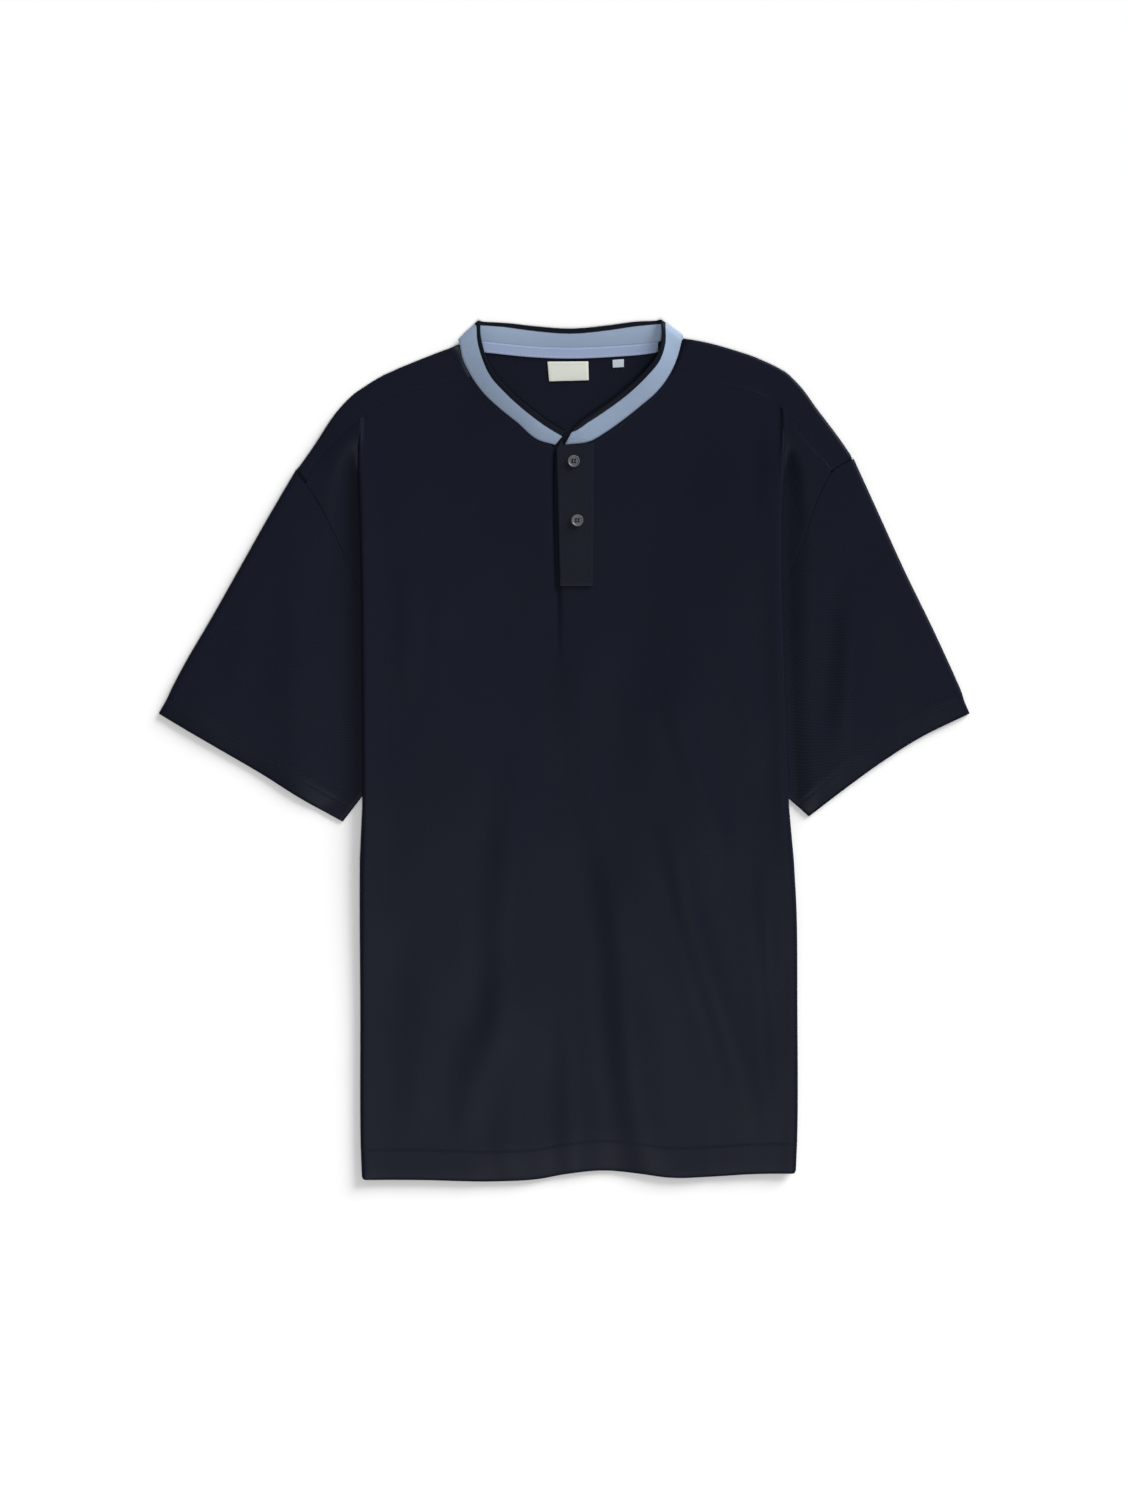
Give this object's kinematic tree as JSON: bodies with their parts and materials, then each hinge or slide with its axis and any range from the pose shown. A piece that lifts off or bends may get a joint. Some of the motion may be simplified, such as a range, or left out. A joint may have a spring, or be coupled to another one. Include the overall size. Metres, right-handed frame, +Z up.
{
  "type": "polo shirt",
  "caption": "Short-sleeved polo shirt laid flat front up, with a stand-up band collar, a half placket with buttons, and its sides folded under.",
  "frame": {"origin": "on the surface that the shirt lies on, below the middle of its bounding box", "axes": "+Y from the hem towards the collar, +X towards the wearer's left, +Z up out of the lying shirt"},
  "size_m": [0.7749, 0.8235, 0.0152],
  "materials": {
    "body_cloth": "dark navy cotton pique",
    "band_cloth": "light blue knitted band with a navy tipped edge",
    "tape_cloth": "light blue twill tape",
    "placket_cloth": "smooth charcoal cotton",
    "button": "dark grey four-hole button",
    "label_cloth": "pale woven label, blank"
  },
  "bodies": {
    "root": {"front_panel": "body_cloth", "back_panel": "body_cloth", "sleeve_right": "body_cloth", "sleeve_left": "body_cloth", "neck_band": "band_cloth", "neck_tape": "tape_cloth", "placket": "placket_cloth", "button_top": "button", "button_bottom": "button", "neck_label": "label_cloth", "size_label": "label_cloth"}
  },
  "joints": []
}
